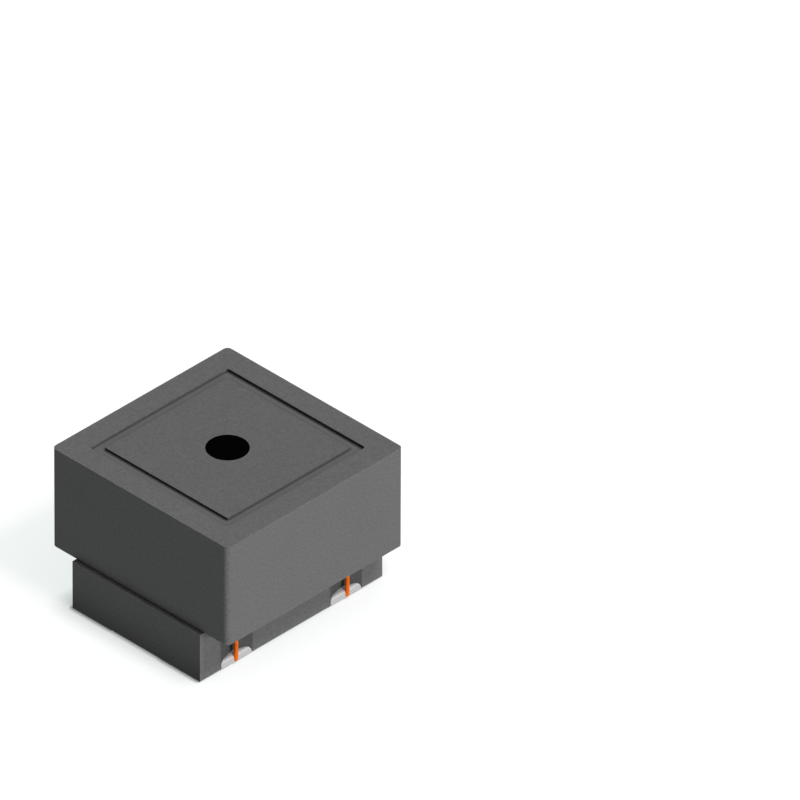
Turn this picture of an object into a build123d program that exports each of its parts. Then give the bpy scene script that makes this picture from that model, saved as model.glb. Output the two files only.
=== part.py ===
from build123d import *
import math
import os

os.makedirs("parts", exist_ok=True)

# Surface-mount common mode choke, in millimetres.
# +Z is up, +X runs along the longer side of the base. The origin is at the middle of the footprint,
# on the plane that the four terminals rest on.

# Shield ring
ring_side = 5.00
ring_wall = 0.54
ring_height = 2.40
ring_corner_radius = 0.11
ring_inner_radius = 0.05

# Drum core: lower flange (the base), post and upper flange (the top panel) are one pressed piece
base_overhang = 0.10
base_height = 1.14
post_diameter = 1.70
post_root_radius = 0.05
flange_thickness = 0.60
panel_drop = 0.01
top_gap = 0.22

# Scooped notches in the long sides of the base, and scooped grooves across its underside between them
notch_inset = 1.04
notch_width = 0.92
notch_depth = 0.14
groove_depth = 0.17

# Terminals
terminal_thickness = 0.02
terminal_margin = 0.03
terminal_width = 1.12
solder_height = 0.15

# Enamelled copper wire. Its section has few sides, because the many turns are hidden inside
wire_diameter = 0.08
wire_sides = 6
turn_gap = 0.01
coil_clearance = 0.01
lead_standoff = 0.03
lead_offset = 0.02
lead_clearance = 0.07
lead_bend_radius = 0.10
foot_bend_radius = 0.06
tail_clearance = 0.005
tail_reach = 0.04
run_out_clearance = 0.10
run_out_bend_radius = 0.20

# Adhesive
seat_gap = 0.02
seat_setback = 0.06
seat_web = 0.06
seat_lap = 0.08
top_adhesive_drop = 0.055
top_adhesive_depth = 0.35

# Levels above the resting plane
base_bottom = terminal_thickness
base_top = base_bottom + base_height
ring_bottom = base_top + seat_gap
ring_top = ring_bottom + ring_height
flange_bottom = ring_top - panel_drop - flange_thickness

# Sizes that follow from the ring
wire_radius = wire_diameter / 2
ring_opening = ring_side - 2 * ring_wall
flange_side = ring_opening - 2 * top_gap
base_length = ring_side + 2 * base_overhang
base_width = ring_opening - 2 * (lead_clearance + wire_radius + lead_standoff)
base_side = base_width / 2
notch_x = base_length / 2 - notch_inset
lead_x = notch_x + lead_offset
lead_y = base_side + lead_standoff

# Notches and grooves are shallow arcs of one width, and the solder fills them flush
notch_radius = (notch_width**2 / 4 + notch_depth**2) / (2 * notch_depth)
notch_axis = base_side - notch_depth + notch_radius
groove_radius = (notch_width**2 / 4 + groove_depth**2) / (2 * groove_depth)
groove_axis = base_bottom + groove_depth - groove_radius

# Terminals are flush with the base's end and side, and cover the groove's width
terminal_length = notch_inset + notch_width / 2 + terminal_margin
terminal_x = base_length / 2 - terminal_length / 2
terminal_y = base_side - terminal_width / 2
corners = [(-1, -1), (1, -1), (1, 1), (-1, 1)]

# The two wires lie side by side in one layer, so each climbs by two wires and their gaps a turn.
# A lead leaves the layer along the tangent that points at its notch.
coil_radius = post_diameter / 2 + coil_clearance + wire_radius
coil_pitch = 2 * (wire_diameter + turn_gap)
coil_slope = coil_pitch / (2 * math.pi * coil_radius)
lead_span = math.sqrt(lead_x**2 + lead_y**2 - coil_radius**2)
notch_bearing = math.degrees(math.atan2(-lead_y, -lead_x))
tangent_offset = math.degrees(math.atan2(lead_span, coil_radius))
start_bearing = notch_bearing + tangent_offset
finish_bearing = 180 - start_bearing
lost_turn = ((start_bearing - finish_bearing) % 360) / 360
lead_level = ring_bottom + seat_web + lead_bend_radius
coil_bottom = lead_level + coil_slope * lead_span
coil_room = flange_bottom - coil_clearance - wire_radius - coil_bottom
turns = math.floor(coil_room / coil_pitch + lost_turn) - lost_turn
coil_height = turns * coil_pitch
coil_top = coil_bottom + coil_height
tail_level = base_bottom + tail_clearance + wire_radius
tail_end = base_side - terminal_width - tail_reach

# The finishing lead leaves the layer level with it until it is clear of the turns below
run_out = math.sqrt((coil_radius + wire_diameter + run_out_clearance) ** 2 - coil_radius**2)


def on_coil(bearing, level, run):
    """Point at a straight run along the layer's tangent from the given bearing, climbing with it."""
    angle = math.radians(bearing)
    x = coil_radius * math.cos(angle) - run * math.sin(angle)
    y = coil_radius * math.sin(angle) + run * math.cos(angle)
    return (x, y, level + run * coil_slope)


# Shield ring: a plain square tube, rounded along its upright edges only
with BuildPart() as shield_ring:
    with BuildSketch(Plane.XY.offset(ring_bottom)):
        RectangleRounded(ring_side, ring_side, ring_corner_radius)
        RectangleRounded(ring_opening, ring_opening, ring_inner_radius, mode=Mode.SUBTRACT)
    extrude(amount=ring_height)

# Drum core: both roots of the post are rounded before the notches and grooves are cut
with BuildPart() as drum_core:
    with BuildSketch(Plane.XY.offset(base_bottom)):
        Rectangle(base_length, base_width)
    extrude(amount=base_height)
    with BuildSketch(Plane.XY.offset(base_top)):
        Circle(post_diameter / 2)
    extrude(amount=flange_bottom - base_top)
    with BuildSketch(Plane.XY.offset(flange_bottom)):
        Rectangle(flange_side, flange_side)
    extrude(amount=flange_thickness)
    fillet(drum_core.edges().filter_by(GeomType.CIRCLE), post_root_radius)
    with BuildSketch(Plane.XY.offset(base_bottom)):
        with Locations(*[(x * notch_x, y * notch_axis) for x, y in corners]):
            Circle(notch_radius)
    extrude(amount=base_height, mode=Mode.SUBTRACT)
    with BuildSketch(Plane.XZ):
        with Locations((-notch_x, groove_axis), (notch_x, groove_axis)):
            Circle(groove_radius)
    extrude(amount=base_side, both=True, mode=Mode.SUBTRACT)

# First winding: in at the -X, -Y notch, round the post, and out at the +X, -Y notch
layer = Helix(
    pitch=coil_pitch,
    height=coil_height,
    radius=coil_radius,
    center=(0, 0, coil_bottom),
).rotate(Axis.Z, start_bearing)
with BuildPart() as winding_1:
    with BuildLine() as wire_route:
        FilletPolyline(
            (-lead_x, -tail_end, tail_level),
            (-lead_x, -lead_y, tail_level),
            (-lead_x, -lead_y, lead_level),
            on_coil(start_bearing, coil_bottom, 0),
            radius=[foot_bend_radius, lead_bend_radius],
        )
        add(layer)
        FilletPolyline(
            on_coil(finish_bearing, coil_top, 0),
            on_coil(finish_bearing, coil_top, run_out),
            (lead_x, -lead_y, lead_level),
            (lead_x, -lead_y, tail_level),
            (lead_x, -tail_end, tail_level),
            radius=[run_out_bend_radius, lead_bend_radius, foot_bend_radius],
        )
    with BuildSketch(Plane(origin=wire_route.line @ 0, z_dir=wire_route.line % 0)):
        RegularPolygon(wire_radius, wire_sides)
    sweep(path=wire_route.line)

# Second winding: the first one turned half a turn about the post, so its turns lie between
with BuildPart() as winding_2:
    add(winding_1.part.rotate(Axis.Z, 180))

# Seat adhesive: a film between base and ring, and a web that closes the slot beside the base
with BuildPart() as seat_adhesive:
    with BuildSketch(Plane.XY.offset(base_top)):
        Rectangle(ring_side - 2 * seat_setback, base_width)
        Rectangle(ring_opening - seat_lap, base_width - 2 * seat_lap, mode=Mode.SUBTRACT)
    extrude(amount=seat_gap)
    with BuildSketch(Plane.XY.offset(ring_bottom)):
        RectangleRounded(ring_opening, ring_opening, ring_inner_radius)
        Rectangle(ring_opening - seat_lap, base_width - 2 * seat_lap, mode=Mode.SUBTRACT)
    extrude(amount=seat_web)
    add(winding_1.part, mode=Mode.SUBTRACT)
    add(winding_2.part, mode=Mode.SUBTRACT)

# Top adhesive: a sunk frame of resin between the upper flange and the ring
with BuildPart() as top_adhesive:
    with BuildSketch(Plane.XY.offset(ring_top - top_adhesive_drop)):
        RectangleRounded(ring_opening, ring_opening, ring_inner_radius)
        Rectangle(flange_side, flange_side, mode=Mode.SUBTRACT)
    extrude(amount=-top_adhesive_depth)

pieces = {
    "shield_ring": shield_ring,
    "drum_core": drum_core,
    "winding_1": winding_1,
    "winding_2": winding_2,
    "seat_adhesive": seat_adhesive,
    "top_adhesive": top_adhesive,
}

# Terminals and solder, numbered counter-clockwise from the -X, -Y corner
for number, (x_side, y_side) in enumerate(corners, start=1):
    with BuildPart() as terminal:
        with BuildSketch(Plane.XY):
            with Locations((x_side * terminal_x, y_side * terminal_y)):
                Rectangle(terminal_length, terminal_width)
        extrude(amount=terminal_thickness)
    # The joint fills the groove up to its own level, and the foot of the notch up to solder_height
    with BuildPart() as solder_joint:
        with BuildSketch(Plane.XZ.offset(-y_side * base_side)):
            with Locations((x_side * notch_x, groove_axis)):
                Circle(groove_radius)
            with Locations((x_side * notch_x, base_bottom + groove_depth / 2)):
                Rectangle(notch_width, groove_depth, mode=Mode.INTERSECT)
        extrude(amount=y_side * terminal_width)
        with BuildSketch(Plane.XY.offset(solder_height)):
            with Locations((x_side * notch_x, y_side * notch_axis)):
                Circle(notch_radius)
        extrude(amount=groove_depth, mode=Mode.SUBTRACT)
        with BuildSketch(Plane.XY.offset(base_bottom)):
            with Locations((x_side * notch_x, y_side * notch_axis)):
                Circle(notch_radius)
            with Locations((x_side * notch_x, y_side * (base_side - notch_depth / 2))):
                Rectangle(notch_width, notch_depth, mode=Mode.INTERSECT)
        extrude(amount=solder_height - base_bottom)
        add(winding_1.part if y_side < 0 else winding_2.part, mode=Mode.SUBTRACT)
    pieces[f"terminal_{number}"] = terminal
    pieces[f"solder_joint_{number}"] = solder_joint

for name, piece in pieces.items():
    piece.part.label = name
    export_step(piece.part, f"parts/{name}.step")

print("turns in each winding", round(turns, 2))
print("wire bends", lead_bend_radius, foot_bend_radius, run_out_bend_radius)
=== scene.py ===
import math

import bpy
import numpy as np
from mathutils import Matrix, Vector


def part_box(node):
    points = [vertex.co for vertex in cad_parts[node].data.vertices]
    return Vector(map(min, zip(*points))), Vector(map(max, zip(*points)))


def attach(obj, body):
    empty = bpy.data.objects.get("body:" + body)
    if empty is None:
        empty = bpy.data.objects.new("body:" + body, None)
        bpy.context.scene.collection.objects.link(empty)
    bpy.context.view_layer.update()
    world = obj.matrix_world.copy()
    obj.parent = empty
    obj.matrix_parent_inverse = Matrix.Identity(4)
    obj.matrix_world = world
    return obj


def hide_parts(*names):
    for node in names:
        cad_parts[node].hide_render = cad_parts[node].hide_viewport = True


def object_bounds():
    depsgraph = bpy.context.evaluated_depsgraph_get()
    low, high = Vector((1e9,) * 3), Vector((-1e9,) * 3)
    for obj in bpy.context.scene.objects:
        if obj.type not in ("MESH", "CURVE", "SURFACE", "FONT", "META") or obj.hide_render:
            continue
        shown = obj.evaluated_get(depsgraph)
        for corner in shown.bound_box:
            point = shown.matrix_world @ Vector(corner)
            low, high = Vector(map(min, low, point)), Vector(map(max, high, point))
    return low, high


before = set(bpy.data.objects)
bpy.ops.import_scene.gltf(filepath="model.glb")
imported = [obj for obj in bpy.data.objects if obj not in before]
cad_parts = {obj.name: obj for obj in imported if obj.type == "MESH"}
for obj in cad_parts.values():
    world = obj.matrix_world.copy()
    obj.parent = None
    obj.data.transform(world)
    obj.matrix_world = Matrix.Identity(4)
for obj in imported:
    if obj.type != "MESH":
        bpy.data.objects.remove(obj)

# Surface-mount common mode choke: a square ferrite ring on a pressed drum core, two enamelled
# wires wound together round the hidden post, four solder joints and four tinned terminals.
# Lengths are metres. +Z is up and +X runs along the longer side of the base.

MM = 0.001
CAD_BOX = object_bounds()

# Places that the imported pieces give
RING_LOW, RING_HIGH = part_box("shield_ring")
CORE_LOW, CORE_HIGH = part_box("drum_core")
PAD_LOW, PAD_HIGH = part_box("terminal_1")
BASE_SIDE = -CORE_LOW.y
BASE_END = CORE_HIGH.x
BASE_BOTTOM = CORE_LOW.z
BASE_HEIGHT = 1.14 * MM
BASE_TOP = BASE_BOTTOM + BASE_HEIGHT

# Corners of the footprint, counter-clockwise from -X, -Y
CORNERS = [(-1, -1), (1, -1), (1, 1), (-1, 1)]

# Notches and grooves: shallow arcs of one width
NOTCH_INSET = 1.04 * MM
NOTCH_X = BASE_END - NOTCH_INSET
NOTCH_WIDTH = 0.92 * MM
NOTCH_DEPTH = 0.14 * MM
NOTCH_RADIUS = (NOTCH_WIDTH**2 / 4 + NOTCH_DEPTH**2) / (2 * NOTCH_DEPTH)
GROOVE_DEPTH = 0.17 * MM
GROOVE_RADIUS = (NOTCH_WIDTH**2 / 4 + GROOVE_DEPTH**2) / (2 * GROOVE_DEPTH)

# Solder: the bead at a notch's foot, and the filling of a groove. The filling starts inside the
# bead, at a share of the notch's depth, and shrinks at its ends about a share of the groove's depth
BEAD_FRONT = 0.105 * MM
BEAD_CREST = 0.15 * MM
BEAD_MARGIN = 0.028 * MM
BEAD_SQUARENESS = 9
BEAD_BULGE = 0.03
BEAD_SWEEP = math.radians(86)
BEAD_RINGS = 41
DOME_STEPS = 13
GROOVE_START = 0.75
GROOVE_MIDDLE = 0.4
GROOVE_ARC_STEPS = 25
GROOVE_FLAT_STEPS = 13
GROOVE_DISH = 0.012 * MM

# Enamelled wire. Rings at these angles round its ends, which stand out by a share of its radius
WIRE_RADIUS = 0.044 * MM
WIRE_SIDES = 16
CAP_ANGLES = np.radians([75, 50, 25])
CAP_LENGTH = 0.5

# The wire's path: coil on the post, leads down the notches, tails in the grooves
COIL_RADIUS = 0.90 * MM
COIL_PITCH = 0.18 * MM
COIL_TURNS = 8
COIL_STEP = math.radians(7.5)
LEAD_X = NOTCH_X + 0.028 * MM
LEAD_Y = BASE_SIDE + 0.01 * MM
LEAD_LEVEL = 1.34 * MM
TAIL_LEVEL = 0.05 * MM
TAIL_END = 0.66 * MM
LEAD_BEND = 0.10 * MM
FOOT_BEND = 0.046 * MM
RUN_OUT_BEND = 0.20 * MM
RUN_OUT_CLEARANCE = 0.10 * MM
BEND_STEPS = 10

# Orientation dot
DOT_RADIUS = 0.45 * MM
DOT_THICKNESS = 0.004 * MM
DOT_SIDES = 96

# New pieces shade as smooth up to this angle between faces
SHARP_ANGLE = math.radians(40)

# Finishes, as 8-bit display colours
RING_COLOUR = (101, 101, 101)
CORE_COLOUR = (99, 99, 99)
RESIN_COLOUR = (97, 98, 97)
TIN_COLOUR = (184, 186, 183)
# Painted shade on the pads' rims at the part's ends
TIN_RIM_SHADE_COLOUR = (70, 70, 70)
SOLDER_COLOUR = (188, 189, 188)
# Painted light on the solder's dome
SOLDER_DOME_LIGHT_COLOUR = (217, 218, 217)
ENAMEL_DEEP_COLOUR = (236, 98, 0)
ENAMEL_BRIGHT_COLOUR = (250, 114, 0)
INK_COLOUR = (4, 4, 4)

# Range that the film and height outputs mostly keep to, and a narrower one for clear patches
FILM_SPREAD = (0.3, 0.7)
HEIGHT_SPREAD = (0.3, 1.0)
PATCH_SPREAD = (0.35, 0.65)

# Pressed grain: height of the crystals, and the pits' spacing in crystals, darkening and depth
CRYSTAL_HEIGHT = 0.6
PIT_SPACING = 4.0
PIT_SHADE = 0.08
PIT_DEPTH = 0.6

# Ferrite: tone of rubbed edges, painted light on the base's long sides, and painted shade on its notch
# walls and towards its foot
EDGE_RUB = 0.35
EDGE_LIFT = 26
EDGE_POLISH = 0.3
SIDE_PAINTED_LIGHT = 0.15
NOTCH_WALL_PAINTED_SHADE = 0.25
END_FOOT_PAINTED_SHADE = 0.55
SIDE_FOOT_PAINTED_SHADE = 0.08
FOOT_POWER = 2.1

# Ferrite: depths over which the masks of the base's long sides and ends fade out, and widths over
# which the mask of the notch walls does
SIDE_MASK_DEPTHS = (0.0005 * MM, 0.003 * MM)
END_MASK_DEPTHS = (0.001 * MM, 0.002 * MM)
NOTCH_EDGE_FADE = 0.01 * MM
NOTCH_WALL_FADE = 0.02 * MM

# Ferrite: reach and strength of the painted shade in narrow corners, from ambient occlusion. A
# strength below zero paints light there instead
CORNER_SHADE_REACH = 0.25 * MM
BASE_CORNER_SHADE = 1.4
CORNER_SHADE_ACROSS_X = 1.9
CORNER_SHADE_ALONG_X = -0.55
NOTCH_CORNER_SHADE_CUT = 0.65

# Resin: reach and strength of the painted shade by the walls across X, and by the walls that face +Y,
# from ambient occlusion. Each looks towards a wall, leaned from upright
ACROSS_X_SHADE_REACH = 0.07 * MM
ACROSS_X_PAINTED_SHADE = 1.0
FACING_Y_SHADE_REACH = 0.16 * MM
FACING_Y_PAINTED_SHADE = 0.4
LEAN_ASIDE = 0.8
LEAN_UP = 0.6

# Tin: how far a normal points along X, from where the painted shade on a rim starts to where it is
# full
RIM_SHADE_SPREAD = (0.4, 0.6)

# Solder: how far a normal points up, from where the painted light on the dome starts to where it is
# brightest, and the share of that upward part that it shades with
DOME_LIGHT_SPREAD = (0.2, 0.6)
DOME_UPWARD = 0.5

# The photograph's frame: isometric, 16.12 mm wide, with the middle of the footprint to the left
# of and below its middle
FRAME_WIDTH = 16.12 * MM
FRAME_RIGHT = 3.475 * MM
FRAME_UP = 3.877 * MM
AZIMUTH = math.radians(-45)
ELEVATION = math.atan(math.sqrt(0.5))
LENS_MM = 1500
SENSOR_MM = 36
CLIP_START = 0.01
CLIP_END = 10

# Floor. It takes a small share of the light for its shadow and shows white beyond it
FLOOR_SIZE = 150 * MM
FLOOR_DROP = 0.002 * MM
FLOOR_COLOUR = (0.38, 0.32, 0.335, 1)
FLOOR_GLOW = (0.70, 0.76, 0.745, 1)
# Darkening close to the part: reach, power, and the direction that the soft light comes from
CONTACTS = [
    (0.57 * MM, 0.6, (0.0, -0.85, 0.53)),
    (0.10 * MM, 2.0, (0.45, -0.85, 0.27)),
]

# Sky and lamps
WHITE = (1, 1, 1, 1)
SKY_ABOVE = (0.264, 0.288, 0.274, 1)
SKY_BELOW = (0.245, 0.268, 0.255, 1)
HORIZON_BLEND = 0.15
LAMP_COLOUR = (1.012, 0.987, 1.0)
LAMP_DISTANCE = 200 * MM
# Name: direction that the light comes from, strength, angle in degrees that the lamp fills
LAMPS = {
    "high": ((0.05, -0.53, 0.84), 0.45, 10),
    "low_front": ((-0.104, -0.994, 0.015), 0.635, 8),
    "overhead": ((0, -0.15, 1), 0.458, 76),
}


def grid_faces(rows, columns):
    """Quads between neighbouring points of a grid whose columns close up into rings. Corner order
    is (i, j), (i, j+1), (i+1, j+1), (i+1, j), with j taken round the ring. The first and last
    rings are closed by one face each."""
    i, j = np.meshgrid(np.arange(rows - 1), np.arange(columns), indexing="ij")
    after = (j + 1) % columns
    near, far = i * columns, (i + 1) * columns
    quads = np.stack([near + j, near + after, far + after, far + j], -1)
    first = list(range(columns))[::-1]
    last = [(rows - 1) * columns + j for j in range(columns)]
    return quads.reshape(-1, 4).tolist() + [first, last]


def closed_shell(points, y_side):
    """A shell of rings (rings, points in a ring, 3), with its faces turned outwards on the side of
    the part that it is on."""
    faces = grid_faces(*points.shape[:2])
    if y_side > 0:
        faces = [face[::-1] for face in faces]
    return points, faces


def add_piece(name, shells, material, nodes):
    """Joins closed shells, each (points, faces), into one smooth-shaded piece on the root body."""
    points, faces, start = [], [], 0
    for shell_points, shell_faces in shells:
        points += shell_points.reshape(-1, 3).tolist()
        faces += [[start + k for k in face] for face in shell_faces]
        start = len(points)
    mesh = bpy.data.meshes.new(name)
    mesh.from_pydata(points, [], faces)
    mesh.polygons.foreach_set("use_smooth", [True] * len(mesh.polygons))
    mesh.set_sharp_from_angle(angle=SHARP_ANGLE)
    mesh.materials.append(material)
    piece = bpy.data.objects.new(name, mesh)
    bpy.context.scene.collection.objects.link(piece)
    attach(piece, "root")
    if nodes:
        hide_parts(*nodes)


def unit(vectors):
    """Each row divided by its length."""
    return vectors / np.linalg.norm(vectors, axis=-1, keepdims=True)


def bend(before, corner, after, radius):
    """Tangent arc at a corner of a route: start + r (sin a E + (1 - cos a) I), where E is the
    direction of arrival, I is square to it and towards the way out, and a runs from zero to the
    angle that the route turns by."""
    arriving = unit(np.asarray(corner) - np.asarray(before))
    leaving = unit(np.asarray(after) - np.asarray(corner))
    turn = math.acos(float(np.clip(arriving @ leaving, -1, 1)))
    start = np.asarray(corner) - arriving * radius * math.tan(turn / 2)
    inward = unit(leaving - arriving * (arriving @ leaving))
    a = np.linspace(0, turn, BEND_STEPS)[:, None]
    return start + radius * (np.sin(a) * arriving + (1 - np.cos(a)) * inward)


def wire_route():
    """Path of the first winding: tail in the groove, up the notch, along the tangent to the layer,
    helix (R cos b, R sin b, z0 + pitch (b - b0) / 2 pi), and down the other notch the same way."""
    slope = COIL_PITCH / (2 * math.pi * COIL_RADIUS)
    span = math.sqrt(LEAD_X**2 + LEAD_Y**2 - COIL_RADIUS**2)
    start = math.atan2(-LEAD_Y, -LEAD_X) + math.atan2(span, COIL_RADIUS)
    finish = math.pi - start
    lost = ((start - finish) % (2 * math.pi)) / (2 * math.pi)
    turns = COIL_TURNS - lost
    bottom = LEAD_LEVEL + slope * span
    top = bottom + turns * COIL_PITCH

    bearing = np.arange(0, 2 * math.pi * turns, COIL_STEP) + start
    rise = bottom + COIL_PITCH * (bearing - start) / (2 * math.pi)
    layer = np.stack([COIL_RADIUS * np.cos(bearing), COIL_RADIUS * np.sin(bearing), rise], -1)

    run = math.sqrt((COIL_RADIUS + 2 * WIRE_RADIUS + RUN_OUT_CLEARANCE) ** 2 - COIL_RADIUS**2)
    on_layer = np.array([COIL_RADIUS * math.cos(finish), COIL_RADIUS * math.sin(finish), top])
    tangent = np.array([-math.sin(finish), math.cos(finish), slope])
    clear = on_layer + run * tangent
    entry = [
        (-LEAD_X, -TAIL_END, TAIL_LEVEL),
        (-LEAD_X, -LEAD_Y, TAIL_LEVEL),
        (-LEAD_X, -LEAD_Y, LEAD_LEVEL),
        tuple(layer[0]),
    ]
    leave = [
        tuple(on_layer),
        tuple(clear),
        (LEAD_X, -LEAD_Y, LEAD_LEVEL),
        (LEAD_X, -LEAD_Y, TAIL_LEVEL),
        (LEAD_X, -TAIL_END, TAIL_LEVEL),
    ]
    return np.concatenate([
        [entry[0]],
        bend(*entry[:3], FOOT_BEND),
        bend(*entry[1:], LEAD_BEND),
        layer,
        bend(*leave[:3], RUN_OUT_BEND),
        bend(*leave[1:4], LEAD_BEND),
        bend(*leave[2:], FOOT_BEND),
        [leave[4]],
    ])


def wire_shell(route):
    """Tube round a route: p + r (cos a N + sin a B), with a going once round. T is the route's
    direction, N the part of the direction away from the post's axis that is square to T, and
    B = T x N. Both ends are rounded by shorter rings beyond the last points."""
    tangent = unit(np.gradient(route, axis=0))
    away = unit(route * [1, 1, 0])
    normal = unit(away - tangent * (away * tangent).sum(-1, keepdims=True))
    side = np.cross(tangent, normal)

    caps, last = len(CAP_ANGLES), len(route) - 1
    pick = np.concatenate([np.zeros(caps, int), np.arange(len(route)), np.full(caps, last)])
    swell = np.concatenate([np.cos(CAP_ANGLES), np.ones(len(route)), np.cos(CAP_ANGLES[::-1])])
    shift = np.concatenate([-np.sin(CAP_ANGLES), np.zeros(len(route)), np.sin(CAP_ANGLES[::-1])])
    middle = route[pick] + tangent[pick] * shift[:, None] * WIRE_RADIUS * CAP_LENGTH
    a = np.linspace(0, 2 * math.pi, WIRE_SIDES, endpoint=False)[None, :, None]
    ring = np.cos(a) * normal[pick][:, None] + np.sin(a) * side[pick][:, None]
    points = middle[:, None] + WIRE_RADIUS * swell[:, None, None] * ring
    return points, grid_faces(*points.shape[:2])


def bead_shell(x_side, y_side):
    """Solder at the foot of a notch, one ring of points for each place u along the notch. The notch
    is V(u) = sqrt(R^2 - u^2) - (R - depth) deep there. The ring goes up the front, which bulges by a
    share of V(u), back over a dome of height front + (crest - front) sqrt(1 - (1 - s)^2) at the
    share s of V(u), and down the wall. Both ends sink as sqrt(1 - |u / half length|^squareness), a
    little short of the notch's edges."""
    half = NOTCH_WIDTH / 2 - BEAD_MARGIN
    u = half * np.sin(np.linspace(-BEAD_SWEEP, BEAD_SWEEP, BEAD_RINGS))
    deep = np.sqrt(NOTCH_RADIUS**2 - u**2) - (NOTCH_RADIUS - NOTCH_DEPTH)
    sink = np.sqrt(1 - np.abs(u / half) ** BEAD_SQUARENESS)
    s = np.linspace(0, 1, DOME_STEPS)
    share = np.concatenate([[0, -BEAD_BULGE, -BEAD_BULGE], s, [1]])
    front = np.concatenate([[0, 0.35, 0.8], np.ones(DOME_STEPS), [0]]) * BEAD_FRONT
    dome = np.concatenate([[0, 0, 0], np.sqrt(1 - (1 - s) ** 2), [0]]) * (BEAD_CREST - BEAD_FRONT)
    points = np.stack([
        np.broadcast_to((x_side * NOTCH_X + u)[:, None], (len(u), len(share))),
        y_side * (BASE_SIDE - deep[:, None] * share),
        BASE_BOTTOM + sink[:, None] * (front + dome),
    ], -1)
    return closed_shell(points, y_side)


def groove_shell(x_side, y_side):
    """Solder in a groove: a shallow circular segment carried along the groove, from inside the
    bead to the terminal's inner edge, where its end is slightly dished."""
    half = math.asin(NOTCH_WIDTH / 2 / GROOVE_RADIUS)
    a = np.linspace(-half, half, GROOVE_ARC_STEPS)
    arc = np.stack([GROOVE_RADIUS * np.sin(a), GROOVE_RADIUS * (np.cos(a) - np.cos(half))], -1)
    flat_x = np.linspace(NOTCH_WIDTH / 2, -NOTCH_WIDTH / 2, GROOVE_FLAT_STEPS)[1:-1]
    flat = np.stack([flat_x, np.zeros_like(flat_x)], -1)
    outline = np.concatenate([arc, flat])
    near = BASE_SIDE - NOTCH_DEPTH * GROOVE_START
    far = BASE_SIDE - (PAD_HIGH.y - PAD_LOW.y)
    station = np.array([near, near, (near + far) / 2, far, far, far])
    share = np.array([0.2, 1, 1, 1, 0.7, 0.3])
    dish = np.array([0, 0, 0, 0, 0.5, 1]) * GROOVE_DISH
    middle = np.array([0, GROOVE_DEPTH * GROOVE_MIDDLE])
    plan = middle + share[:, None, None] * (outline - middle)
    points = np.stack([
        x_side * NOTCH_X + plan[..., 0],
        np.broadcast_to((y_side * (station + dish))[:, None], plan.shape[:2]),
        BASE_BOTTOM + plan[..., 1],
    ], -1)
    return closed_shell(points, y_side)


def dot_shell():
    """Printed dot: a disc with a soft shoulder. The radius goes from the rim inwards as the height
    goes from the panel to the film's thickness."""
    share = np.array([0.02, 1, 1, 0.985, 0.96, 0.02])
    height = CORE_HIGH.z + np.array([0, 0, 0.4, 0.8, 1, 1]) * DOT_THICKNESS
    a = np.linspace(0, 2 * math.pi, DOT_SIDES, endpoint=False)
    points = np.stack([
        DOT_RADIUS * share[:, None] * np.cos(a),
        DOT_RADIUS * share[:, None] * np.sin(a),
        np.broadcast_to(height[:, None], (len(share), len(a))),
    ], -1)
    return points, grid_faces(*points.shape[:2])


def feed(tree, made, inputs):
    """Sets a node's inputs, given by name or number, to values, or links them to outputs."""
    for name, value in inputs.items():
        if isinstance(value, bpy.types.NodeSocket):
            tree.links.new(value, made.inputs[name])
        else:
            made.inputs[name].default_value = value


def add_node(tree, kind, inputs=(), **settings):
    """A shader node with its settings and its inputs."""
    made = tree.nodes.new(kind)
    for name, value in settings.items():
        setattr(made, name, value)
    feed(tree, made, dict(inputs))
    return made


def calculate(tree, operation, *values):
    """Output of a Math node."""
    return add_node(tree, "ShaderNodeMath", dict(enumerate(values)), operation=operation).outputs[0]


def product(tree, first, *others):
    """All the values multiplied, as a chain of Math nodes."""
    for value in others:
        first = calculate(tree, "MULTIPLY", first, value)
    return first


def weighted_sum(tree, start, *terms):
    """Start plus weight times value over the terms, each (weight, value)."""
    for weight, value in terms:
        start = calculate(tree, "ADD", start, calculate(tree, "MULTIPLY", value, weight))
    return start


def combine(tree, operation, *vectors):
    """Output of a Vector Math node."""
    inputs = dict(enumerate(vectors))
    return add_node(tree, "ShaderNodeVectorMath", inputs, operation=operation).outputs[0]


def split(tree, vector):
    """The x, y and z of a vector."""
    return add_node(tree, "ShaderNodeSeparateXYZ", {0: vector}).outputs


def join(tree, x, y, z):
    """A vector from its x, y and z."""
    return add_node(tree, "ShaderNodeCombineXYZ", {0: x, 1: y, 2: z}).outputs[0]


def object_place(tree):
    """Object coordinates."""
    return add_node(tree, "ShaderNodeTexCoord").outputs["Object"]


def surface_normal(tree):
    """The surface's normal before any bump."""
    return add_node(tree, "ShaderNodeNewGeometry").outputs["Normal"]


def blend_colours(tree, factor, dark, light):
    """Output of a colour Mix node, from dark at factor 0 to light at factor 1."""
    inputs = {0: factor, 6: dark, 7: light}
    return add_node(tree, "ShaderNodeMix", inputs, data_type="RGBA").outputs[2]


def remap(tree, value, from_low, from_high, to_low=0.0, to_high=1.0):
    """Output of a clamped Map Range node."""
    inputs = {0: value, 1: from_low, 2: from_high, 3: to_low, 4: to_high}
    return add_node(tree, "ShaderNodeMapRange", inputs).outputs[0]


def srgb(red, green, blue):
    """Linear colour of an 8-bit display colour: ((c + 0.055) / 1.055) ^ 2.4, with alpha one."""
    scaled = np.array([red, green, blue]) / 255
    linear = np.where(scaled <= 0.04045, scaled / 12.92, ((scaled + 0.055) / 1.055) ** 2.4)
    return (*linear.tolist(), 1.0)


def scaled_colour(tree, colour, tone):
    """A colour, fixed or from a node, multiplied by a tone that varies about one."""
    given = colour if isinstance(colour, bpy.types.NodeSocket) else colour[:3]
    inputs = {0: given, "Scale": tone}
    return add_node(tree, "ShaderNodeVectorMath", inputs, operation="SCALE").outputs[0]


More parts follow.
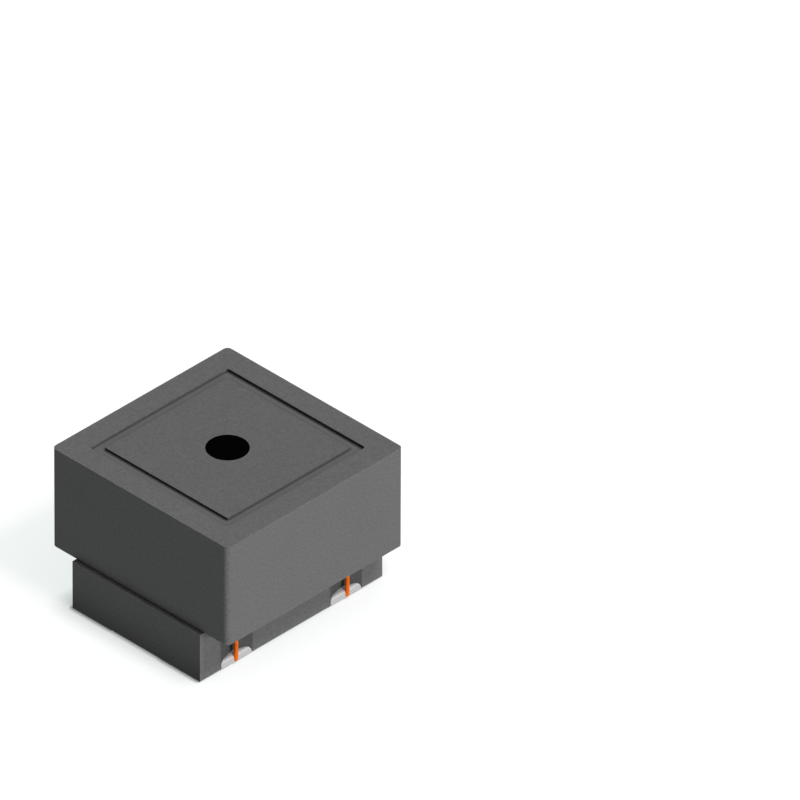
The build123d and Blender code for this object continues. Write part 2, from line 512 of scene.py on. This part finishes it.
def new_group(name, inputs, outputs):
    """An empty shader node group, with its float or vector inputs and their starting values."""
    group = bpy.data.node_groups.new(name, "ShaderNodeTree")
    for label, value in inputs.items():
        kind = "NodeSocketVector" if isinstance(value, tuple) else "NodeSocketFloat"
        socket = group.interface.new_socket(label, in_out="INPUT", socket_type=kind)
        socket.default_value = value
    for label in outputs:
        group.interface.new_socket(label, in_out="OUTPUT", socket_type="NodeSocketFloat")
    given = group.nodes.new("NodeGroupInput").outputs
    result = group.nodes.new("NodeGroupOutput")
    return group, given, result


def build_pressed_grain():
    """Grain of a pressed and fired powder. Tone varies about one with the crystals and with broad
    firing clouds and is lower in small pits, and Height carries the crystals and the pits."""
    inputs = {"Grain Size": 0.04 * MM, "Cloud Size": 1.2 * MM, "Contrast": 0.1, "Clouds": 0.05}
    group, given, result = new_group("pressed_grain", inputs, ["Tone", "Height"])
    place = object_place(group)

    def pattern(kind, size, **inputs):
        scale = calculate(group, "DIVIDE", 1.0, size)
        return add_node(group, kind, {"Vector": place, "Scale": scale, **inputs}).outputs

    def swing(noise):
        return calculate(group, "SUBTRACT", noise, 0.5)

    grain = pattern("ShaderNodeTexNoise", given["Grain Size"], Detail=3.0, Roughness=0.7)[0]
    crystal = pattern("ShaderNodeTexVoronoi", given["Grain Size"])["Distance"]
    cloud = pattern("ShaderNodeTexNoise", given["Cloud Size"], Detail=4.0, Roughness=0.55)[0]
    pit = pattern("ShaderNodeTexVoronoi", product(group, given["Grain Size"], PIT_SPACING))["Distance"]
    pit_field = pattern("ShaderNodeTexNoise", given["Cloud Size"], Detail=1.0)[0]
    pits = product(group, remap(group, pit, 0.05, 0.16, 1.0, 0.0), remap(group, pit_field, 0.5, 0.62))

    fine = (given["Contrast"], swing(grain))
    broad = (given["Clouds"], swing(cloud))
    feed(group, result, {
        "Tone": weighted_sum(group, 1.0, fine, broad, (-PIT_SHADE, pits)),
        "Height": weighted_sum(group, grain, (CRYSTAL_HEIGHT, crystal), (-PIT_DEPTH, pits)),
    })
    return group


def build_edge_wear():
    """Rubbed edges of a box-shaped body. With h the half sizes and c the centre, d = h - |p - c| is
    the depth under each pair of faces. An edge is where the two smaller depths are both near zero,
    so the middle one of the three depths, against the width, gives the mask."""
    inputs = {"Centre": (0.0, 0.0, 0.0), "Half Size": (MM, MM, MM), "Width": 0.02 * MM}
    group, given, result = new_group("edge_wear", inputs, ["Wear"])
    place = object_place(group)
    away = combine(group, "SUBTRACT", place, given["Centre"])
    depth = combine(group, "SUBTRACT", given["Half Size"], combine(group, "ABSOLUTE", away))
    x, y, z = split(group, depth)
    low = calculate(group, "MINIMUM", x, y)
    high = calculate(group, "MAXIMUM", x, y)
    middle = calculate(group, "MAXIMUM", low, calculate(group, "MINIMUM", high, z))
    rub = {"Vector": place, "Scale": 6 / MM, "Detail": 4.0}
    rub = add_node(group, "ShaderNodeTexNoise", rub).outputs[0]
    reach = product(group, given["Width"], remap(group, rub, 0.35, 0.7, 0.1, 1.6))
    near = calculate(group, "DIVIDE", calculate(group, "ABSOLUTE", middle), reach)
    feed(group, result, {"Wear": remap(group, near, 0.0, 1.0, 1.0, 0.0)})
    return group


def build_film_ripple():
    """Ripple and handling film of a poured or dipped surface. Ripple is a smooth height, and Film a
    cloudy mask for gloss."""
    inputs = {"Ripple Size": 0.3 * MM, "Film Size": 0.5 * MM}
    group, given, result = new_group("film_ripple", inputs, ["Ripple", "Film"])
    place = object_place(group)
    for label, size, detail in (("Ripple", "Ripple Size", 2.0), ("Film", "Film Size", 5.0)):
        scale = calculate(group, "DIVIDE", 1.0, given[size])
        noise = {"Vector": place, "Scale": scale, "Detail": detail}
        feed(group, result, {label: add_node(group, "ShaderNodeTexNoise", noise).outputs[0]})
    return group


GRAIN = build_pressed_grain()
WEAR = build_edge_wear()
FILM = build_film_ripple()


def new_material(name):
    """A material with its node tree and its Principled BSDF."""
    material = bpy.data.materials.new(name)
    material.use_nodes = True
    return material, material.node_tree, material.node_tree.nodes["Principled BSDF"]


def place_group(tree, group, **values):
    """Outputs of a node group in a material. Its inputs are set by name, where _ stands for a
    space."""
    inputs = {name.replace("_", " "): value for name, value in values.items()}
    made = add_node(tree, "ShaderNodeGroup", node_tree=group)
    feed(tree, made, inputs)
    return made.outputs


def occlusion(tree, reach, toward=None):
    """Ambient occlusion within a reach, about the surface's own normal or another direction."""
    inputs = {"Distance": reach}
    if toward:
        inputs["Normal"] = join(tree, *toward)
    return add_node(tree, "ShaderNodeAmbientOcclusion", inputs, samples=4).outputs["AO"]


def painted_crevice_shade(tree, strength, open_share):
    """Painted shade in narrow corners, 1 - strength (1 - open_share). A strength below zero paints
    light there instead."""
    closed = calculate(tree, "SUBTRACT", 1.0, open_share)
    shade = calculate(tree, "SUBTRACT", 1.0, product(tree, closed, strength))
    return calculate(tree, "MAXIMUM", shade, 0.0)


def roughen(tree, surface, height, relief, normal=None):
    """Feeds a height, scaled by a relief in metres, through a Bump node into the surface's normal,
    on top of a given normal."""
    inputs = {"Height": height, "Distance": relief}
    if normal:
        inputs["Normal"] = normal
    feed(tree, surface, {"Normal": add_node(tree, "ShaderNodeBump", inputs).outputs[0]})


def painted_corner_shade_strength(tree):
    """How strongly painted shade darkens the ferrite in corners: in full round the base, and above it
    most on the walls across X. The walls along X get painted light instead."""
    x, y = split(tree, surface_normal(tree))[:2]
    level = split(tree, object_place(tree))[2]
    high = remap(tree, level, RING_LOW.z + CORNER_SHADE_REACH, RING_LOW.z + 2 * CORNER_SHADE_REACH)
    across = product(tree, calculate(tree, "ABSOLUTE", x), CORNER_SHADE_ACROSS_X)
    walls = weighted_sum(tree, across, (CORNER_SHADE_ALONG_X, calculate(tree, "ABSOLUTE", y)))
    low = calculate(tree, "SUBTRACT", 1.0, high)
    return weighted_sum(tree, product(tree, walls, high), (BASE_CORNER_SHADE, low))


def base_masks(tree):
    """Four masks on the base: its long sides, the notch walls behind them, its ends, and one that
    grows towards the foot."""
    x, y, z = split(tree, object_place(tree))
    out = calculate(tree, "ABSOLUTE", x)
    off = calculate(tree, "ABSOLUTE", calculate(tree, "SUBTRACT", out, NOTCH_X))
    across = remap(tree, off, NOTCH_WIDTH / 2 - NOTCH_EDGE_FADE, NOTCH_WIDTH / 2, 1.0, 0.0)
    depth = calculate(tree, "SUBTRACT", BASE_SIDE, calculate(tree, "ABSOLUTE", y))
    behind = remap(tree, depth, *SIDE_MASK_DEPTHS)
    near = remap(tree, depth, NOTCH_DEPTH, NOTCH_DEPTH + NOTCH_WALL_FADE, 1.0, 0.0)
    below = remap(tree, z, BASE_TOP - NOTCH_WALL_FADE, BASE_TOP, 1.0, 0.0)
    side = product(tree, calculate(tree, "SUBTRACT", 1.0, behind), below)
    wall = product(tree, behind, near, below, across)
    end = remap(tree, calculate(tree, "SUBTRACT", BASE_END, out), *END_MASK_DEPTHS, 1.0, 0.0)
    foot = calculate(tree, "POWER", remap(tree, z, BASE_BOTTOM, BASE_TOP, 1.0, 0.0), FOOT_POWER)
    return side, wall, end, foot


def make_ferrite(name, colour, low, high, notched=False):
    """Sintered ferrite: dark grey, dull, finely grained, with edges rubbed slightly lighter. The
    base's long sides get a little painted light, its notch walls and its foot get painted shade, and
    narrow corners get painted shade from ambient occlusion."""
    material, tree, surface = new_material(name)
    grain = place_group(
        tree, GRAIN, Grain_Size=0.05 * MM, Cloud_Size=1.4 * MM, Contrast=0.88, Clouds=0.08
    )
    centre = (low + high) / 2
    half = (high - low) / 2
    wear = place_group(tree, WEAR, Centre=centre[:], Half_Size=half[:], Width=0.022 * MM)
    rubbed = product(tree, wear["Wear"], EDGE_RUB)
    body = scaled_colour(tree, srgb(*colour), grain["Tone"])
    base = blend_colours(tree, rubbed, body, srgb(*(c + EDGE_LIFT for c in colour)))
    corners = painted_corner_shade_strength(tree)
    if notched:
        side, wall, end, foot = base_masks(tree)
        # Less painted corner shade on the notch walls
        corners = product(tree, corners, weighted_sum(tree, 1.0, (-NOTCH_CORNER_SHADE_CUT, wall)))
        # Painted light on the base's long sides, painted shade on the notch walls and towards the foot
        skin = weighted_sum(
            tree,
            1.0,
            (SIDE_PAINTED_LIGHT, side),
            (-NOTCH_WALL_PAINTED_SHADE, wall),
            (-END_FOOT_PAINTED_SHADE, product(tree, end, foot)),
            (-SIDE_FOOT_PAINTED_SHADE, product(tree, side, foot)),
        )
        base = scaled_colour(tree, base, skin)
    # Painted shade in narrow corners, from ambient occlusion
    corner_painted_shade = painted_crevice_shade(tree, corners, occlusion(tree, CORNER_SHADE_REACH))
    dull = remap(tree, grain["Height"], *HEIGHT_SPREAD, 0.72, 0.86)
    feed(tree, surface, {
        "Base Color": scaled_colour(tree, base, corner_painted_shade),
        "Roughness": weighted_sum(tree, dull, (-EDGE_POLISH, rubbed)),
        "Specular IOR Level": 0.1,
    })
    roughen(tree, surface, grain["Height"], relief=0.0032 * MM)
    return material


def make_resin():
    """Cured adhesive: dark grey filled epoxy with a smooth, slightly rippled skin. It has painted
    shade by the walls across X, and a little along the walls that face +Y."""
    material, tree, surface = new_material("resin")
    film = place_group(tree, FILM, Ripple_Size=0.35 * MM, Film_Size=0.12 * MM)
    grain = place_group(
        tree, GRAIN, Grain_Size=0.02 * MM, Cloud_Size=0.6 * MM, Contrast=0.2, Clouds=0.2
    )
    skin = scaled_colour(tree, srgb(*RESIN_COLOUR), grain["Tone"])
    # Painted shade by the walls, from ambient occlusion leaned towards them
    sides = [occlusion(tree, ACROSS_X_SHADE_REACH, (x * LEAN_ASIDE, 0, LEAN_UP)) for x in (-1, 1)]
    shade_across_x = painted_crevice_shade(tree, ACROSS_X_PAINTED_SHADE, calculate(tree, "MINIMUM", *sides))
    shade_facing_y = painted_crevice_shade(tree, FACING_Y_PAINTED_SHADE, occlusion(tree, FACING_Y_SHADE_REACH, (0, -LEAN_ASIDE, LEAN_UP)))
    feed(tree, surface, {
        "Base Color": scaled_colour(tree, skin, product(tree, shade_across_x, shade_facing_y)),
        "Roughness": remap(tree, film["Film"], *FILM_SPREAD, 0.42, 0.62),
        "Specular IOR Level": 0.12,
    })
    height = weighted_sum(tree, film["Ripple"], (0.12, grain["Height"]))
    roughen(tree, surface, height, relief=0.006 * MM)
    return material


def make_tin():
    """Tin plating over silver thick film: pale matte grey, finely nodular, faintly stained. The film's
    thin rims at the part's ends get painted shade, as dark as the ferrite, and are not metallic."""
    material, tree, surface = new_material("tin_plating")
    grain = place_group(
        tree, GRAIN, Grain_Size=0.028 * MM, Cloud_Size=0.5 * MM, Contrast=0.30, Clouds=0.16
    )
    film = place_group(tree, FILM, Ripple_Size=0.2 * MM, Film_Size=0.3 * MM)
    # Painted shade on the rims that face along X
    across = calculate(tree, "ABSOLUTE", split(tree, surface_normal(tree))[0])
    rim_unshaded = remap(tree, across, *RIM_SHADE_SPREAD, 1.0, 0.0)
    colour = blend_colours(tree, rim_unshaded, srgb(*TIN_RIM_SHADE_COLOUR), srgb(*TIN_COLOUR))
    feed(tree, surface, {
        "Base Color": scaled_colour(tree, colour, grain["Tone"]),
        "Roughness": remap(tree, film["Film"], *FILM_SPREAD, 0.48, 0.64),
        "Metallic": product(tree, rim_unshaded, 0.55),
    })
    height = weighted_sum(tree, grain["Height"], (2.0, film["Ripple"]))
    roughen(tree, surface, height, relief=0.0016 * MM)
    return material


def make_solder():
    """Solder: pale silver, frosted and dull, with painted light where its dome faces up, and faint
    flow ripples. Its dome shades as if it faced more to the side that the bead is on."""
    material, tree, surface = new_material("solder")
    film = place_group(tree, FILM, Ripple_Size=0.12 * MM, Film_Size=0.10 * MM)
    grain = place_group(
        tree, GRAIN, Grain_Size=0.03 * MM, Cloud_Size=0.3 * MM, Contrast=0.16, Clouds=0.14
    )
    x, y, z = split(tree, surface_normal(tree))
    y_side = calculate(tree, "SIGN", split(tree, object_place(tree))[1])
    outward = product(tree, y_side, calculate(tree, "MAXIMUM", z, 0.0))
    faced = join(tree, x, calculate(tree, "ADD", y, outward), product(tree, z, DOME_UPWARD))
    # Painted light where the dome faces up
    dome_lit = remap(tree, z, *DOME_LIGHT_SPREAD)
    colour = blend_colours(tree, dome_lit, srgb(*SOLDER_COLOUR), srgb(*SOLDER_DOME_LIGHT_COLOUR))
    feed(tree, surface, {
        "Base Color": scaled_colour(tree, colour, grain["Tone"]),
        "Roughness": remap(tree, film["Film"], *FILM_SPREAD, 0.50, 0.66),
        "Metallic": 0.12,
    })
    height = weighted_sum(tree, film["Ripple"], (0.15, grain["Height"]))
    roughen(tree, surface, height, relief=0.004 * MM, normal=combine(tree, "NORMALIZE", faced))
    return material


def make_wire_enamel():
    """Copper wire under clear orange enamel: saturated, glossy, with faint drawing marks."""
    material, tree, surface = new_material("wire_enamel")
    film = place_group(tree, FILM, Ripple_Size=0.05 * MM, Film_Size=0.09 * MM)
    patch = remap(tree, film["Film"], *PATCH_SPREAD)
    colours = srgb(*ENAMEL_DEEP_COLOUR), srgb(*ENAMEL_BRIGHT_COLOUR)
    feed(tree, surface, {
        "Base Color": blend_colours(tree, patch, *colours),
        "Roughness": remap(tree, film["Film"], *FILM_SPREAD, 0.34, 0.46),
        "Metallic": 0.2,
        "Specular IOR Level": 0.08,
        "Coat Weight": 0.03,
        "Coat Roughness": 0.18,
    })
    roughen(tree, surface, film["Ripple"], relief=0.002 * MM)
    return material


def make_ink():
    """Printed ink: matte black with a fine dry skin."""
    material, tree, surface = new_material("ink")
    grain = place_group(
        tree, GRAIN, Grain_Size=0.018 * MM, Cloud_Size=0.2 * MM, Contrast=0.5, Clouds=0.4
    )
    feed(tree, surface, {
        "Base Color": scaled_colour(tree, srgb(*INK_COLOUR), grain["Tone"]),
        "Roughness": remap(tree, grain["Height"], *HEIGHT_SPREAD, 0.6, 0.8),
        "Specular IOR Level": 0.0,
    })
    roughen(tree, surface, grain["Height"], relief=0.0008 * MM)
    return material


def dress_nodes():
    """Puts the finishes on the CAD nodes that show as they are."""
    base_high = Vector((CORE_HIGH.x, CORE_HIGH.y, BASE_TOP))
    finishes = {
        "shield_ring": make_ferrite("ring_ferrite", RING_COLOUR, RING_LOW, RING_HIGH),
        "drum_core": make_ferrite("core_ferrite", CORE_COLOUR, CORE_LOW, base_high, notched=True),
    }
    finishes.update(dict.fromkeys(("top_adhesive", "seat_adhesive"), make_resin()))
    terminals = [f"terminal_{number}" for number in range(1, len(CORNERS) + 1)]
    finishes.update(dict.fromkeys(terminals, make_tin()))
    for name, material in finishes.items():
        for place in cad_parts[name].material_slots:
            place.material = material


def add_windings():
    """Both windings. The second is the first turned half a turn about the post: (-x, -y, z)."""
    enamel = make_wire_enamel()
    route = wire_route()
    for number, turned in ((1, [1, 1, 1]), (2, [-1, -1, 1])):
        shell = wire_shell(route * turned)
        add_piece(f"winding_wire_{number}", [shell], enamel, [f"winding_{number}"])


def add_solder():
    """The four solder joints, numbered counter-clockwise from the -X, -Y corner."""
    solder = make_solder()
    for number, corner in enumerate(CORNERS, start=1):
        shells = [bead_shell(*corner), groove_shell(*corner)]
        add_piece(f"solder_bead_{number}", shells, solder, [f"solder_joint_{number}"])


def add_camera():
    """Camera on the isometric line through the part's middle, far away with a long lens, then turned
    the shortest way until the part stands where the photograph has it."""
    back = Vector((
        math.sin(AZIMUTH) * math.cos(ELEVATION),
        -math.cos(AZIMUTH) * math.cos(ELEVATION),
        math.sin(ELEVATION),
    ))
    right = Vector((math.cos(AZIMUTH), math.sin(AZIMUTH), 0))
    up = back.cross(right)
    middle = (Vector(CAD_BOX[0]) + Vector(CAD_BOX[1])) / 2
    place = middle + back * FRAME_WIDTH * LENS_MM / SENSOR_MM
    target = right * FRAME_RIGHT + up * FRAME_UP + back * middle.dot(back)
    turn = back.rotation_difference((place - target).normalized())
    data = bpy.data.cameras.new("camera")
    data.lens = LENS_MM
    data.sensor_width = SENSOR_MM
    data.clip_start = CLIP_START
    data.clip_end = CLIP_END
    camera = bpy.data.objects.new("camera", data)
    camera.rotation_mode = "QUATERNION"
    camera.rotation_quaternion = turn @ back.to_track_quat("Z", "Y")
    camera.location = place
    bpy.context.scene.collection.objects.link(camera)
    bpy.context.scene.camera = camera


def cleared_tree(owner):
    """An empty node tree on a material or world, and the outputs of a Light Path node in it."""
    owner.use_nodes = True
    tree = owner.node_tree
    tree.nodes.clear()
    return tree, add_node(tree, "ShaderNodeLightPath").outputs


def mirrored(tree, path):
    """One for rays that come by way of gloss or glass, and else zero."""
    return calculate(tree, "MAXIMUM", path["Is Glossy Ray"], path["Is Transmission Ray"])


def make_floor():
    """White floor: transparent from below, plain white in reflections, and otherwise its own
    shading plus a glow that lifts it to white, so that only shadows show. Both fade close to the
    part by ambient occlusion raised to a power, most on the sides turned away from the light."""
    material = bpy.data.materials.new("floor")
    tree, path = cleared_tree(material)
    behind = add_node(tree, "ShaderNodeNewGeometry").outputs["Backfacing"]
    contacts = [
        calculate(tree, "POWER", occlusion(tree, reach, toward), power)
        for reach, power, toward in CONTACTS
    ]
    fade = product(tree, *contacts)
    dull = {"Color": scaled_colour(tree, FLOOR_COLOUR, fade)}
    matte = add_node(tree, "ShaderNodeBsdfDiffuse", dull).outputs[0]
    lift = {"Color": FLOOR_GLOW, "Strength": product(tree, fade, path["Is Camera Ray"])}
    glow = add_node(tree, "ShaderNodeEmission", lift).outputs[0]
    lit = add_node(tree, "ShaderNodeAddShader", {0: matte, 1: glow}).outputs[0]
    white = add_node(tree, "ShaderNodeEmission", {"Color": WHITE, "Strength": 1.0}).outputs[0]
    above = {0: mirrored(tree, path), 1: lit, 2: white}
    seen = add_node(tree, "ShaderNodeMixShader", above).outputs[0]
    clear = add_node(tree, "ShaderNodeBsdfTransparent").outputs[0]
    result = add_node(tree, "ShaderNodeMixShader", {0: behind, 1: seen, 2: clear}).outputs[0]
    add_node(tree, "ShaderNodeOutputMaterial", {"Surface": result})
    return material


def add_floor():
    """The floor's square, just below the pads. It throws no shadow and lights nothing."""
    mesh = bpy.data.meshes.new("floor")
    corners = [(x * FLOOR_SIZE, y * FLOOR_SIZE, -FLOOR_DROP) for x, y in CORNERS]
    mesh.from_pydata(corners, [], [range(len(corners))])
    mesh.materials.append(make_floor())
    floor = bpy.data.objects.new("floor", mesh)
    floor.visible_shadow = False
    floor.visible_diffuse = False
    bpy.context.scene.collection.objects.link(floor)


def add_sky():
    """World: soft light that is a little weaker from below, and plain white to the camera and in
    reflections."""
    world = bpy.data.worlds.new("sky")
    tree, path = cleared_tree(world)
    height = split(tree, add_node(tree, "ShaderNodeTexCoord").outputs["Generated"])[2]
    above = remap(tree, height, -HORIZON_BLEND, HORIZON_BLEND)
    light = {"Color": blend_colours(tree, above, SKY_BELOW, SKY_ABOVE), "Strength": 1.0}
    soft = add_node(tree, "ShaderNodeBackground", light).outputs[0]
    white = add_node(tree, "ShaderNodeBackground", {"Color": WHITE, "Strength": 1.0}).outputs[0]
    plain = calculate(tree, "MAXIMUM", mirrored(tree, path), path["Is Camera Ray"])
    result = add_node(tree, "ShaderNodeMixShader", {0: plain, 1: soft, 2: white}).outputs[0]
    add_node(tree, "ShaderNodeOutputWorld", {"Surface": result})
    bpy.context.scene.world = world


def add_lamps():
    """Round area lamps. A lamp's power for a surface that faces it is about pi times its radiance
    over its solid angle, so the power is strength pi^2 distance^2."""
    for name, (direction, strength, angle) in LAMPS.items():
        data = bpy.data.lights.new(name, "AREA")
        data.shape = "DISK"
        data.size = 2 * LAMP_DISTANCE * math.tan(math.radians(angle / 2))
        data.energy = strength * math.pi**2 * LAMP_DISTANCE**2
        data.color = LAMP_COLOUR
        lamp = bpy.data.objects.new(name, data)
        toward = Vector(direction).normalized()
        lamp.location = toward * LAMP_DISTANCE
        lamp.rotation_mode = "QUATERNION"
        lamp.rotation_quaternion = toward.to_track_quat("Z", "Y")
        lamp.visible_glossy = False
        bpy.context.scene.collection.objects.link(lamp)


bpy.context.scene.view_settings.view_transform = "Standard"
add_camera()
add_floor()
add_sky()
add_lamps()
dress_nodes()
add_windings()
add_solder()
add_piece("orientation_dot", [dot_shell()], make_ink(), [])
